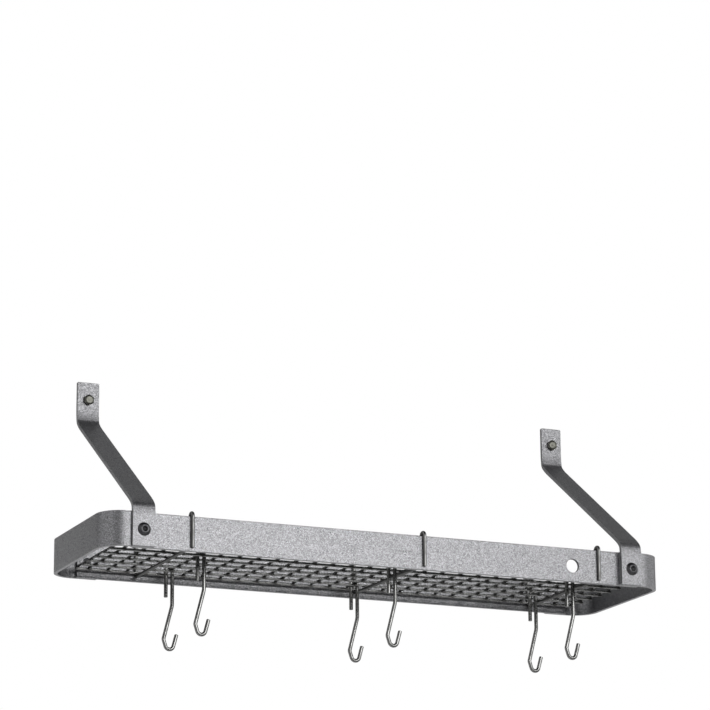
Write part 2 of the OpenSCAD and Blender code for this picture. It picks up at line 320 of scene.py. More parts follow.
def fitted(name, mesh, body, slot, *nodes):
    """A finished piece that rides on a body in place of its nodes."""
    piece = in_scene(name, mesh)
    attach(piece, body)
    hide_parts(*nodes)
    return piece


def round_cut_corners(mesh, radius):
    """Rounds the short corner edges at the two cut ends of a bar."""
    bar = bmesh.new()
    bar.from_mesh(mesh)
    bmesh.ops.remove_doubles(bar, verts=bar.verts, dist=SAME_PLACE * MM)
    largest = END_SHARE * BAR_THICK * BAR_HEIGHT * MM * MM
    ends = [f for f in bar.faces if len(f.verts) == 4 and f.calc_area() < largest
            and all(e.calc_face_angle(0) > END_SHARP for e in f.edges)]
    corners = {e for f in ends for e in f.edges if abs(e.calc_length() - BAR_THICK * MM) < END_SLACK * MM}
    bmesh.ops.bevel(bar, geom=list(corners), offset=radius * MM, segments=CORNER_SEGMENTS, profile=0.5,
                    affect="EDGES")
    bar.to_mesh(mesh)
    bar.free()


def ramp(tree, value, low, high, at_low=0.0, at_high=1.0, kind="LINEAR"):
    """A number from at_low to at_high, by a value's place between low and high."""
    return add(tree, "ShaderNodeMapRange", {0: value, 1: low, 2: high, 3: at_low, 4: at_high},
               interpolation_type=kind).outputs[0]


def noise(tree, where, scale, detail, roughness=0.5):
    """Grey noise at a place; its scale is in waves a metre."""
    return add(tree, "ShaderNodeTexNoise", {"Vector": where, "Scale": scale, "Detail": detail,
                                            "Roughness": roughness}).outputs[0]


def scaled(tree, vector, factor):
    """A vector or a colour times a factor."""
    return add(tree, "ShaderNodeVectorMath", {0: vector, "Scale": factor}, operation="SCALE").outputs[0]


def vector_sum(tree, first, second):
    """The sum of two vectors."""
    return add(tree, "ShaderNodeVectorMath", {0: first, 1: second}, operation="ADD").outputs[0]


def new_finish(name, inputs, outputs):
    """A shader node group with these sockets, and its group input's outputs."""
    tree = bpy.data.node_groups.new(name, "ShaderNodeTree")
    for label, kind in inputs.items():
        socket(tree, label, kind)
    for label, kind in outputs.items():
        socket(tree, label, kind, "OUTPUT")
    return tree, add(tree, "NodeGroupInput").outputs


def coated(tree, surface, height, strength, depth):
    """Ends a material in one shader with these inputs and a fine relief, as deep as given in millimetres."""
    relief = add(tree, "ShaderNodeBump", {"Height": height, "Strength": strength, "Distance": depth * MM})
    shader = add(tree, "ShaderNodeBsdfPrincipled", {**surface, "Normal": relief.outputs[0]})
    add(tree, "ShaderNodeOutputMaterial", {"Surface": shader.outputs[0]})


# Hammered paint: pale grey drops, each of its own tone, with fine dark gaps between them, on a cloudy
# ground. The drops are stirred a little, so that their outlines are uneven.
SURFACE = {"Color": "Color", "Roughness": "Float", "Height": "Float"}
STIR_SCALE, STIR_REACH, CLOUD_SCALE, GRIT_SCALE = 420, 0.0016, 62, 900
hammered, given = new_finish("hammered_paint", {"Where": "Vector", "Drop Scale": "Float", "Pale": "Color",
                                                "Deep": "Color", "Gap Width": "Float"}, SURFACE)
stir = add(hammered, "ShaderNodeTexNoise", {"Vector": given["Where"], "Scale": STIR_SCALE, "Detail": 2})
where = vector_sum(hammered, given["Where"], scaled(hammered, stir.outputs["Color"], STIR_REACH))
cells = {"Vector": where, "Scale": given["Drop Scale"]}
to_gap = add(hammered, "ShaderNodeTexVoronoi", cells, feature="DISTANCE_TO_EDGE").outputs["Distance"]
in_drop = ramp(hammered, to_gap, 0.0, given["Gap Width"], kind="SMOOTHSTEP")
own_color = add(hammered, "ShaderNodeTexVoronoi", cells, feature="F1").outputs["Color"]
own_share = add(hammered, "ShaderNodeSeparateXYZ", {0: own_color}).outputs[0]
clouds = noise(hammered, given["Where"], CLOUD_SCALE, 4, 0.6)
grit = noise(hammered, given["Where"], GRIT_SCALE, 3, 0.7)
gritty = sums(hammered, "MULTIPLY_ADD", ramp(hammered, grit, 0.40, 0.60), 0.7, 0.3)
in_gap = sums(hammered, "SUBTRACT", 1.0, in_drop)
clouded = sums(hammered, "MULTIPLY", in_gap, ramp(hammered, clouds, 0.36, 0.62, 0.75))
speck = sums(hammered, "MULTIPLY", clouded, gritty)
speckled = mixed(hammered, speck, given["Pale"], given["Deep"])
tone = sums(hammered, "MULTIPLY", ramp(hammered, clouds, 0.3, 0.7, 0.9, 1.08),
            ramp(hammered, own_share, 0.0, 1.0, 0.74, 1.22))
add(hammered, "NodeGroupOutput", {"Color": scaled(hammered, speckled, tone),
                                  "Roughness": sums(hammered, "MULTIPLY_ADD", speck, 0.25, 0.28),
                                  "Height": sums(hammered, "MULTIPLY_ADD", grit, 0.15, in_drop)})

# Worn edges: a ragged line along both edges of a bar, from a coordinate across it
RAGGED_SCALE = 240
worn, given = new_finish("worn_edges", {"Across": "Float", "Low": "Float", "High": "Float", "Reach": "Float",
                                        "Where": "Vector"}, {"Wear": "Float"})
from_edge = sums(worn, "MINIMUM", sums(worn, "SUBTRACT", given["Across"], given["Low"]),
                 sums(worn, "SUBTRACT", given["High"], given["Across"]))
ragged = sums(worn, "MULTIPLY_ADD", noise(worn, given["Where"], RAGGED_SCALE, 3), 2.2, -0.4)
reach = sums(worn, "MULTIPLY", given["Reach"], ragged)
add(worn, "NodeGroupOutput", {"Wear": ramp(worn, from_edge, 0.0, reach, 1.0, 0.0, "SMOOTHSTEP")})

DROP_SCALE, GAP_WIDTH, PAINT_METAL = 830, 0.34, 0.72
PALE_PAINT, DEEP_PAINT, RUBBED_PAINT = (0.34, 0.34, 0.35, 1), (0.055, 0.055, 0.06, 1), (0.36, 0.36, 0.36, 1)
WEAR_REACH, WEAR_SHARE = 0.9, 0.35


def hammered_bar(name, axis, low, high, fold=0.0):
    """Hammered grey coating on a bar whose long edges lie at low and high along X or Z.

    With a fold, it is for two like bars, that far to the left and to the right of the middle.
    """
    material, tree = new_material(name)
    where = add(tree, "ShaderNodeTexCoord").outputs["Object"]
    paint = add(tree, "ShaderNodeGroup", {"Where": where, "Drop Scale": DROP_SCALE, "Pale": PALE_PAINT,
                                          "Deep": DEEP_PAINT, "Gap Width": GAP_WIDTH},
                node_tree=hammered).outputs
    across = add(tree, "ShaderNodeSeparateXYZ", {0: where}).outputs[axis]
    if fold:
        across = sums(tree, "ABSOLUTE", sums(tree, "SUBTRACT", sums(tree, "ABSOLUTE", across), fold * MM))
    wear = add(tree, "ShaderNodeGroup", {"Across": across, "Low": low * MM, "High": high * MM,
                                         "Reach": WEAR_REACH * MM, "Where": where}, node_tree=worn).outputs[0]
    color = mixed(tree, sums(tree, "MULTIPLY", wear, WEAR_SHARE), paint["Color"], RUBBED_PAINT)
    coated(tree, {"Base Color": color, "Metallic": PAINT_METAL, "Roughness": paint["Roughness"]},
           paint["Height"], 0.32, 0.25)
    return material


flat_bar, given = new_growth("flat_bar_along_path", Bar_Width="Float", Bar_Thickness="Float",
                             Across_Width="Vector", Holes="Object", Coating="Material")
line = add(flat_bar, "GeometryNodeMeshToCurve", {"Mesh": given["Geometry"]}).outputs[0]
line = add(flat_bar, "GeometryNodeSetCurveNormal", {"Curve": line}, mode="FREE")
flat_bar.links.new(given["Across Width"], line.inputs["Normal"])
section = add(flat_bar, "GeometryNodeCurvePrimitiveQuadrilateral",
              {"Width": given["Bar Width"], "Height": given["Bar Thickness"]}).outputs[0]
solid = add(flat_bar, "GeometryNodeCurveToMesh", {"Curve": line.outputs[0], "Profile Curve": section,
                                                  "Fill Caps": True}).outputs[0]
drills = add(flat_bar, "GeometryNodeObjectInfo", {"Object": given["Holes"]}).outputs["Geometry"]
drilled = add(flat_bar, "GeometryNodeMeshBoolean", {"Mesh 1": solid, "Mesh 2": drills},
              operation="DIFFERENCE", solver="EXACT").outputs[0]
close_growth(flat_bar, drilled, given["Coating"])


def finished_bar(name, node, points, width, across, coating, corner, holes):
    """A flat bar along a path, drilled, rounded at its corners and edges, and bolted into the frame."""
    drill = cutter("drill", *holes)
    bar = grown(flat_bar, points, Bar_Width=width * MM, Bar_Thickness=BAR_THICK * MM, Across_Width=across,
                Holes=drill, Coating=coating)
    bpy.data.objects.remove(drill)
    round_cut_corners(bar, corner)
    smooth(bar)
    piece = fitted(name, bar, "frame", "hammered_steel", node)
    bevel = piece.modifiers.new("soft_edges", "BEVEL")
    bevel.width, bevel.segments, bevel.limit_method = EDGE_SOFT * MM, EDGE_SEGMENTS, "ANGLE"
    bevel.angle_limit, bevel.harden_normals = math.radians(EDGE_DEGREES), True


bar_paint = hammered_bar("hammered_bar", "Z", BAR_BOTTOM, BAR_BOTTOM + BAR_HEIGHT)
leg_run = LEG_REACH - CORNER_RADIUS
former_radius = CORNER_RADIUS - BAR_THICK / 2
bolt_hole, sunk_radius = BOLT_RADIUS + HOLE_PLAY, HEAD_RADIUS + SNUG
for label, side in SIDES:
    start = (side * (RACK_LENGTH / 2 - LEG_REACH), BAR_THICK / 2 - RACK_DEPTH, BAR_BOTTOM + BAR_HEIGHT / 2)
    path = bent_path([(leg_run, former_radius, 90), (RACK_DEPTH - 2 * CORNER_RADIUS, former_radius, 90),
                      (leg_run, 0, 0)])
    front_hole = turned([(-DRILL_OVERRUN, bolt_hole, 0), (DRILL_OVERRUN + BAR_THICK, bolt_hole, 0)],
                        (side * BOLT_X, -RACK_DEPTH, BOLT_Z), INTO_WALL)
    sunk_hole = turned([(-DRILL_OVERRUN - BAR_THICK, bolt_hole, 0), (-FLAT_HEAD, bolt_hole, 0),
                        (HOLE_PLAY - FLAT_HEAD, bolt_hole, 0), (0, sunk_radius, 0),
                        (DRILL_OVERRUN, sunk_radius, 0)], (side * BOLT_X, 0, BOLT_Z), INTO_WALL)
    finished_bar(label + "_band", label + "_end_band", laid(path, start, INTO_WALL, (side, 0, 0)), BAR_HEIGHT,
                 UP, bar_paint, CUT_CORNER, [front_hole, sunk_hole])

# --- Rails --------------------------------------------------------------------------------------------
# Two straight lengths of the same flat bar lie inside the legs of the bands, with threaded holes for
# the joint bolts. The front one has a spare hole near its right end.
RAIL_INSET, DRILL_REACH = 37.0, 9
SPARE_HOLE_X, SPARE_HOLE_RADIUS, SPARE_HOLE_SIDES = 257.5, 9.0, 64
rail_run = RACK_LENGTH - 2 * RAIL_INSET


def straight_drill(radius, x, y, z, sides=TURNED_SIDES):
    """A cutter for a hole straight through a bar."""
    return turned([(-DRILL_REACH, radius, 0), (DRILL_REACH, radius, 0)], (x, y, z), INTO_WALL, sides)


for label, rail_y, spare in (("front", 1.5 * BAR_THICK - RACK_DEPTH, True), ("rear", -1.5 * BAR_THICK, False)):
    holes = [straight_drill(BOLT_RADIUS + SNUG, side * BOLT_X, rail_y, BOLT_Z) for _, side in SIDES]
    if spare:
        holes.append(straight_drill(SPARE_HOLE_RADIUS, SPARE_HOLE_X, rail_y, BOLT_Z, SPARE_HOLE_SIDES))
    ends = [Vector((side * rail_run / 2, rail_y, BAR_BOTTOM + BAR_HEIGHT / 2)) * MM for _, side in SIDES]
    finished_bar(label + "_bar", label + "_rail", ends, BAR_HEIGHT, UP, bar_paint, CUT_CORNER, holes)

# --- Arms ---------------------------------------------------------------------------------------------
# Each arm is one strap of the same stock, narrower. Its two bends start and end softly, as a strap's do
# that is bent by hand in a vice. Its lower tab lies on the front of the rack under a button-head bolt and
# its upper tab lies on the wall under a hex-head screw.
ARM_WIDTH, ARM_CORNER = 30.0, 1.6
EASE_RADIUS, EASE_TURN, MIDDLE_RADIUS = 80, 10, 12
LOW_BEND, HIGH_BEND, ARM_TOP = 54.0, 205.7, 261.8
SCREW_RADIUS = 3.95
REPEATED_POINT = 0.01
ALONG_WALL = (1, 0, 0)
rise = HIGH_BEND - LOW_BEND
slant = math.atan2(RACK_DEPTH, rise)
soft_bend = [(0, EASE_RADIUS, EASE_TURN), (0, MIDDLE_RADIUS, math.degrees(slant) - 2 * EASE_TURN),
             (0, EASE_RADIUS, EASE_TURN)]
bend_back = [(0, radius, -turn) for _, radius, turn in soft_bend]
bend_end = bent_path(soft_bend)[-1]
trim = bend_end.y - bend_end.x / math.tan(slant)
strap_run = math.hypot(RACK_DEPTH, rise) - 2 * trim
strap_paint = hammered_bar("hammered_strap", "X", -ARM_WIDTH / 2, ARM_WIDTH / 2, BOLT_X)
for label, side in SIDES:
    path = bent_path([(LOW_BEND - trim, 0, 0), *soft_bend, (strap_run, 0, 0), *bend_back,
                      (ARM_TOP - HIGH_BEND - trim, 0, 0)])
    path = [p for k, p in enumerate(path) if k == 0 or (p - path[k - 1]).length > REPEATED_POINT]
    start = (side * BOLT_X, -RACK_DEPTH - BAR_THICK / 2, BAR_BOTTOM)
    holes = [straight_drill(bolt_hole, side * BOLT_X, -RACK_DEPTH, BOLT_Z),
             straight_drill(SCREW_RADIUS + HOLE_PLAY, side * BOLT_X, 0, 0)]
    finished_bar(label + "_strap", label + "_arm", laid(path, start, INTO_WALL, UP), ARM_WIDTH, ALONG_WALL,
                 strap_paint, ARM_CORNER, holes)

# --- Joint bolts --------------------------------------------------------------------------------------
# Black steel bolts with a hex socket: a low button head in front of each arm, and a flat head sunk into
# the band on the wall side. The heads keep fine turning rings and their edges are rubbed bare. The inside
# of each socket is darkened with painted shade.
HEAD_HEIGHT, DOME_WIDTH, DOME_RINGS, LAND_RISE, LAND_STEP = 5.2, 3.7, 8, 0.05, 0.2
RIM_FOOT, RIM_HEIGHT, RIM_STEP = 0.35, 0.12, 0.1
SOCKET_HALF, SOCKET_DEPTH, SOCKET_CONE, CONE_TIP = 3.0, 3.2, 0.8, 0.6
SOCKET_CORNER = SOCKET_HALF / math.cos(math.radians(30))
MOUTH_CHAMFER, MOUTH_STEP, MOUTH_PLAY = 0.35, 0.15, 0.02
TIP_HOLLOW, TIP_RADIUS, TIP_CHAMFER = 3.0, 4.1, 0.6
PAST_FLATS = 9
OUT_OF_WALL = (0, -1, 0)
# The last two values give how softly the painted shade in a socket fades in, and how dark it is
STAIN_SCALE, RUBBED_WIDTH, PAINTED_SHADE_FADE, PAINTED_SOCKET_SHADE = 420, 0.45, 0.3, 0.85
BLACK_OXIDE, RUBBED_BLACK = (0.06, 0.06, 0.063, 1), (0.22, 0.22, 0.22, 1)


def bolt_finish(name, color, metallic, roughness, rubbed_color, rim_radius, ring_scale, painted_shade_top):
    """Plated or blackened steel: turning rings, small stains, a bare line at the rim and painted shade in the socket.
    """
    material, tree = new_material(name)
    own = add(tree, "ShaderNodeAttribute", attribute_name="turned").outputs["Vector"]
    x, y, z = add(tree, "ShaderNodeSeparateXYZ", {0: own}).outputs
    radius = sums(tree, "SQRT", sums(tree, "ADD", sums(tree, "POWER", x, 2.0), sums(tree, "POWER", y, 2.0)))
    rings = sums(tree, "SINE", sums(tree, "MULTIPLY", radius, ring_scale))
    stains = noise(tree, add(tree, "ShaderNodeTexCoord").outputs["Object"], STAIN_SCALE, 4, 0.65)
    from_rim = sums(tree, "ABSOLUTE", sums(tree, "SUBTRACT", radius, rim_radius))
    rim = ramp(tree, from_rim, 0.0, RUBBED_WIDTH, 0.55, 0.0, "SMOOTHSTEP")
    rubbed = sums(tree, "MULTIPLY", rim, ramp(tree, stains, 0.38, 0.6))
    # Painted shade: the colour is darkened inside the hex socket, below its mouth, where the socket lies in shadow
    inside = ramp(tree, radius, SOCKET_CORNER, SOCKET_CORNER + PAINTED_SHADE_FADE, 1.0, 0.0)
    below = ramp(tree, z, painted_shade_top - PAINTED_SHADE_FADE, painted_shade_top, 1.0, 0.0)
    shade = sums(tree, "MULTIPLY_ADD", sums(tree, "MULTIPLY", inside, below), -PAINTED_SOCKET_SHADE, 1.0)
    tone = sums(tree, "MULTIPLY", ramp(tree, stains, 0.3, 0.7, 0.55, 1.4), shade)
    coated(tree, {"Base Color": mixed(tree, rubbed, scaled(tree, color[:3], tone), rubbed_color),
                  "Metallic": metallic, "Roughness": sums(tree, "MULTIPLY_ADD", stains, 0.25, roughness - 0.12)},
           sums(tree, "MULTIPLY_ADD", stains, 0.6, rings), 0.25, 0.06)
    return material


def dome_height(radius):
    """Height of the button head's dome at a radius."""
    dome = (HEAD_RADIUS ** 2 + HEAD_HEIGHT ** 2) / (2 * HEAD_HEIGHT)
    return HEAD_HEIGHT - dome + math.sqrt(dome ** 2 - radius ** 2)


def shank_tip(end):
    """The rings of the chamfered end of a shank."""
    return [(end, TIP_HOLLOW, 0), (end, TIP_RADIUS, 0), (end + TIP_CHAMFER, BOLT_RADIUS, 0)]


def hex_socket(face, bottom):
    """The rings of a hex socket, from its chamfered mouth in a flat face to the drilled cone below it."""
    edge = face - MOUTH_CHAMFER
    return [(face, SOCKET_CORNER + MOUTH_CHAMFER, 0), (edge, SOCKET_CORNER + MOUTH_PLAY, 0),
            (edge - MOUTH_STEP, PAST_FLATS, SOCKET_HALF), (bottom, PAST_FLATS, SOCKET_HALF),
            (bottom - SOCKET_CONE, CONE_TIP, 0)]


black = bolt_finish("black_bolt", BLACK_OXIDE, metallic=0.75, roughness=0.30, rubbed_color=RUBBED_BLACK,
                    rim_radius=HEAD_RADIUS - 0.2, ring_scale=9.0, painted_shade_top=3.6)
# Height, radius and half width of the flats of each ring, from the shank's end to the socket's bottom
land = HEAD_RADIUS - DOME_WIDTH
rim = HEAD_RADIUS - RIM_STEP
dome_radii = [rim - k * (rim - land) / DOME_RINGS for k in range(1, 1 + DOME_RINGS)]
land_height = dome_height(land) + LAND_RISE
button = [*shank_tip(-3 * BAR_THICK), (0, BOLT_RADIUS, 0), (0, HEAD_RADIUS - RIM_FOOT, 0), (RIM_HEIGHT, rim, 0),
          *[(dome_height(r), r, 0) for r in dome_radii], (land_height, land - LAND_STEP, 0),
          *hex_socket(land_height, HEAD_HEIGHT - SOCKET_DEPTH)]
flat = [*shank_tip(-2 * BAR_THICK), (-FLAT_HEAD, BOLT_RADIUS, 0), (-0.35, HEAD_RADIUS - 0.15, 0),
        (-0.2, HEAD_RADIUS, 0), (-0.05, HEAD_RADIUS - 0.05, 0), (0, HEAD_RADIUS - 0.2, 0),
        *hex_socket(0, -SOCKET_DEPTH)]
for label, side in SIDES:
    for head, profile, y, way, joint in (("_button_bolt", button, -RACK_DEPTH - BAR_THICK, OUT_OF_WALL, "_arm_bolt"),
                                         ("_flat_bolt", flat, 0, INTO_WALL, "_rear_bolt")):
        bolt = turned(profile, (side * BOLT_X, y, BOLT_Z), way)
        bolt.materials.append(black)
        smooth(bolt, 38)
        fitted(label + head, bolt, "frame", "black_bolt", label + joint)

# --- Wall screws --------------------------------------------------------------------------------------
# Forged hex-head wood screws with an olive-grey plating: a head with a wide chamfer and a dished top, a
# smooth neck in the strap, and a coarse rolled thread that runs out into the point.
HEX_HALF, HEX_HEIGHT, HEX_SIDES, NECK_RADIUS = 6.35, 5.4, 72, 3.6
GRIP, POINT, THREAD_PITCH, ROOT_RADIUS = 20.0, 6.0, 2.5, 2.9
THREAD_SIDES, THREAD_RINGS, POINT_SHARE = 28, 84, 0.25
NO_SOCKET = -60.0
OLIVE_PLATING, RUBBED_OLIVE = (0.105, 0.105, 0.09, 1), (0.3, 0.3, 0.27, 1)
olive = bolt_finish("olive_screw", OLIVE_PLATING, metallic=0.7, roughness=0.34, rubbed_color=RUBBED_OLIVE,
                    rim_radius=6.6, ring_scale=0.0, painted_shade_top=NO_SOCKET)

thread, given = new_growth("rolled_thread", Thread_Length="Float", Point_Length="Float", Crest="Float",
                           Root="Float", Pitch="Float", Plating="Material")
blank = add(thread, "GeometryNodeMeshCylinder", {"Vertices": THREAD_SIDES, "Side Segments": THREAD_RINGS,
                                                 "Radius": 1.0, "Depth": given["Thread Length"]})
position = add(thread, "GeometryNodeInputPosition").outputs[0]
x, y, z = add(thread, "ShaderNodeSeparateXYZ", {0: position}).outputs
turn = sums(thread, "DIVIDE", sums(thread, "ARCTAN2", y, x), 2 * math.pi)
wave = sums(thread, "FRACT", sums(thread, "SUBTRACT", sums(thread, "DIVIDE", z, given["Pitch"]), turn))
ridge = ramp(thread, sums(thread, "PINGPONG", wave, 0.5), 0.12, 0.42)
threaded = ramp(thread, ridge, 0.0, 1.0, given["Crest"], given["Root"])
from_tip = sums(thread, "MULTIPLY_ADD", given["Thread Length"], 0.5, z)
taper = ramp(thread, from_tip, 0.0, given["Point Length"], POINT_SHARE)
round_way = add(thread, "ShaderNodeCombineXYZ", {0: x, 1: y}).outputs[0]
radial = scaled(thread, round_way, sums(thread, "MULTIPLY", threaded, taper))
placed = vector_sum(thread, radial, add(thread, "ShaderNodeCombineXYZ", {2: z}).outputs[0])
rolled = add(thread, "GeometryNodeSetPosition", {"Geometry": blank.outputs["Mesh"], "Position": placed})
close_growth(thread, rolled.outputs[0], given["Plating"])
threaded_part = grown(thread, [(0, 0, 0)], Thread_Length=GRIP * MM, Point_Length=POINT * MM,
                      Crest=SCREW_RADIUS * MM, Root=ROOT_RADIUS * MM, Pitch=THREAD_PITCH * MM, Plating=olive)

# Height, radius and half width of the flats of each ring, from the neck to the dished top
hex_corner = HEX_HALF / math.cos(math.radians(30))
hex_profile = [(-BAR_THICK - 0.4, ROOT_RADIUS, 0), (-BAR_THICK, NECK_RADIUS, 0), (0, NECK_RADIUS, 0),
               (0, HEX_HALF - 0.4, 0), (0.35, HEX_HALF - 0.1, 0), (0.5, hex_corner - 0.25, HEX_HALF),
               (1.0, hex_corner, HEX_HALF), (3.2, hex_corner, HEX_HALF), (3.8, hex_corner - 0.3, HEX_HALF),
               (4.3, HEX_HALF + 0.2, HEX_HALF), (4.7, HEX_HALF - 0.3, 0), (5.05, 5.3, 0), (5.3, 4.6, 0),
               (HEX_HEIGHT, 3.9, 0), (HEX_HEIGHT - 0.12, 2.0, 0), (HEX_HEIGHT - 0.15, 0.5, 0)]
for label, side in SIDES:
    screw = bmesh.new()
    screw.from_mesh(turned(hex_profile, (side * BOLT_X, -BAR_THICK, 0), OUT_OF_WALL, HEX_SIDES))
    in_wall = threaded_part.copy()
    in_wall.transform(Matrix.Translation(Vector((side * BOLT_X, GRIP / 2, 0)) * MM)
                      @ Matrix.Rotation(math.radians(90), 4, "X"))
    screw.from_mesh(in_wall)
    mesh = mesh_of(screw, "wall_screw")
    mesh.materials.append(olive)
    smooth(mesh, 40)
    fitted(label + "_hex_screw", mesh, "frame", "olive_screw", label + "_wall_screw")

# --- Shelf hangers ------------------------------------------------------------------------------------
# Three bent steel rods hook over both rails and carry the shelf on their cross bars. The middle one
# sits a little askew.
ROD_RADIUS, ROD_SIDES, CUT_CHAMFER = 2.3, 20, 0.45
# Name, share of the rack's length and skew in degrees
HANGER_PLACES = (("left", 0.1498, 0), ("middle", 0.5557, 2.3), ("right", 0.8777, 0))
HANGER_TAIL, HANGER_BAR, FOOT_RADIUS, HANGER_PLAY = 40.0, 6.3, 4.0, 0.05
HANGER_BRIGHT, HANGER_DULL = (0.17, 0.17, 0.167, 1), (0.11, 0.11, 0.107, 1)
RIM_TINT = (0.5, 0.5, 0.5, 1)
loop_radius = BAR_THICK / 2 + ROD_RADIUS + HANGER_PLAY
tail_y = BAR_THICK - RACK_DEPTH - ROD_RADIUS - HANGER_PLAY
leg_spacing = RACK_DEPTH - 2 * (2 * loop_radius + BAR_THICK - ROD_RADIUS - HANGER_PLAY)
drop = BAR_HEIGHT - HANGER_BAR - FOOT_RADIUS


def keep(tree, geometry, name, value, kind="FLOAT"):
    """Keeps a value on each point of a geometry under a name."""
    return add(tree, "GeometryNodeStoreNamedAttribute", {"Geometry": geometry, "Name": name, "Value": value},
               data_type=kind).outputs[0]


def kept(tree, name, kind="FLOAT"):
    """The value that is kept under a name."""
    return add(tree, "GeometryNodeInputNamedAttribute", {"Name": name}, data_type=kind).outputs[0]


def dropped(tree, geometry, name):
    """A geometry without the value that was kept under a name."""
    return add(tree, "GeometryNodeRemoveAttribute", {"Geometry": geometry, "Name": name}).outputs[0]


rod, given = new_growth("rod_along_path", Rod_Radius="Float", Rod_Sides="Int", Chamfer="Float", Metal="Material")
line = add(rod, "GeometryNodeMeshToCurve", {"Mesh": given["Geometry"]}).outputs[0]
run = add(rod, "GeometryNodeSplineParameter").outputs["Length"]
whole = add(rod, "GeometryNodeSplineLength").outputs["Length"]
ring = add(rod, "GeometryNodeCurvePrimitiveCircle", {"Resolution": given["Rod Sides"],
                                                     "Radius": given["Rod Radius"]}).outputs[0]
ring_place = add(rod, "GeometryNodeInputPosition").outputs[0]
from_end = sums(rod, "MINIMUM", run, sums(rod, "SUBTRACT", whole, run))
cut_share = sums(rod, "SUBTRACT", 1.0, sums(rod, "DIVIDE", given["Chamfer"], given["Rod Radius"]))
thin = ramp(rod, from_end, 0.0, given["Chamfer"], cut_share)
solid = add(rod, "GeometryNodeCurveToMesh", {"Curve": keep(rod, line, "along", run), "Scale": thin,
                                             "Profile Curve": keep(rod, ring, "around", ring_place, "FLOAT_VECTOR"),
                                             "Fill Caps": True}).outputs[0]
lengthwise = add(rod, "ShaderNodeCombineXYZ", {2: kept(rod, "along")}).outputs[0]
unbent = vector_sum(rod, kept(rod, "around", "FLOAT_VECTOR"), lengthwise)
solid = keep(rod, solid, "drawn", unbent, "FLOAT_VECTOR")
for spent in ("around", "along"):
    solid = dropped(rod, solid, spent)
close_growth(rod, solid, given["Metal"])

# Drawn steel: fine lines along the rod, dull patches and small dark specks
LINE_STRETCH, LINE_SCALE, PATCH_SCALE, SPECK_SCALE = 0.03, 2600, 95, 1100
drawn, given = new_finish("drawn_steel", {"Where": "Vector", "Along Rod": "Vector", "Bright": "Color",
                                          "Dull": "Color", "Line Depth": "Float", "Base Roughness": "Float"},
                          SURFACE)
stretched = add(drawn, "ShaderNodeMapping", {"Vector": given["Along Rod"], "Scale": (1, 1, LINE_STRETCH)})
lines = noise(drawn, stretched.outputs[0], LINE_SCALE, 3, 0.6)
patches = ramp(drawn, noise(drawn, given["Where"], PATCH_SCALE, 4, 0.6), 0.42, 0.62, kind="SMOOTHSTEP")
specks = ramp(drawn, noise(drawn, given["Where"], SPECK_SCALE, 2), 0.60, 0.68, 0.0, 0.3)
dullness = sums(drawn, "MAXIMUM", sums(drawn, "MULTIPLY", patches, 0.5), specks)
dullness = sums(drawn, "MAXIMUM", dullness, sums(drawn, "MULTIPLY", lines, given["Line Depth"]))
add(drawn, "NodeGroupOutput", {"Color": mixed(drawn, dullness, given["Bright"], given["Dull"]),
                               "Roughness": sums(drawn, "MULTIPLY_ADD", dullness, 0.3, given["Base Roughness"]),
                               "Height": sums(drawn, "SUBTRACT", lines, dullness)})


def rod_finish(name, bright, dull, line_depth, roughness, heated=None):
    """Bare drawn steel; its lines follow the bends by the attribute "drawn", and heat may change its colour."""
    material, tree = new_material(name)
    where = add(tree, "ShaderNodeTexCoord").outputs["Object"]
    own = add(tree, "ShaderNodeAttribute", attribute_name="drawn").outputs["Vector"]
    steel = add(tree, "ShaderNodeGroup", {"Where": where, "Along Rod": own, "Bright": bright, "Dull": dull,
                                          "Line Depth": line_depth, "Base Roughness": roughness},
                node_tree=drawn).outputs
    color = heated(tree, where, steel["Color"]) if heated else steel["Color"]
    coated(tree, {"Base Color": color, "Metallic": 1.0, "Specular Tint": RIM_TINT,
                  "Roughness": steel["Roughness"]}, steel["Height"], 0.08, 0.05)
    return material


def drawn_rod(points, radius, sides, chamfer, metal):
    """A rod along a path, with a small chamfer at both cut ends."""
    first = points[0] + (points[1] - points[0]).normalized() * chamfer * MM
    last = points[-1] + (points[-2] - points[-1]).normalized() * chamfer * MM
    return grown(rod, [points[0], first, *points[1:-1], last, points[-1]], Rod_Radius=radius * MM,
                 Rod_Sides=sides, Chamfer=chamfer * MM, Metal=metal)


hanger_steel = rod_finish("hanger_rod", HANGER_BRIGHT, HANGER_DULL, line_depth=0.25, roughness=0.26)
for label, share, skew in HANGER_PLACES:
    lean = math.radians(skew)
    path = bent_path([(HANGER_TAIL, loop_radius, 180), (drop, FOOT_RADIUS, -90),
                      (leg_spacing / math.cos(lean) - 2 * FOOT_RADIUS, FOOT_RADIUS, -90),
                      (drop, loop_radius, 180), (HANGER_TAIL, 0, 0)])
    start = ((share - 0.5) * RACK_LENGTH, tail_y, BAR_BOTTOM + BAR_HEIGHT - HANGER_TAIL)
    back = (-math.sin(lean), math.cos(lean), 0)
    hanger = drawn_rod(laid(path, start, back, UP), ROD_RADIUS, ROD_SIDES, CUT_CHAMFER, hanger_steel)
    smooth(hanger)
    fitted(label + "_shelf_hanger", hanger, "frame", "hanger_rod", label + "_hanger")

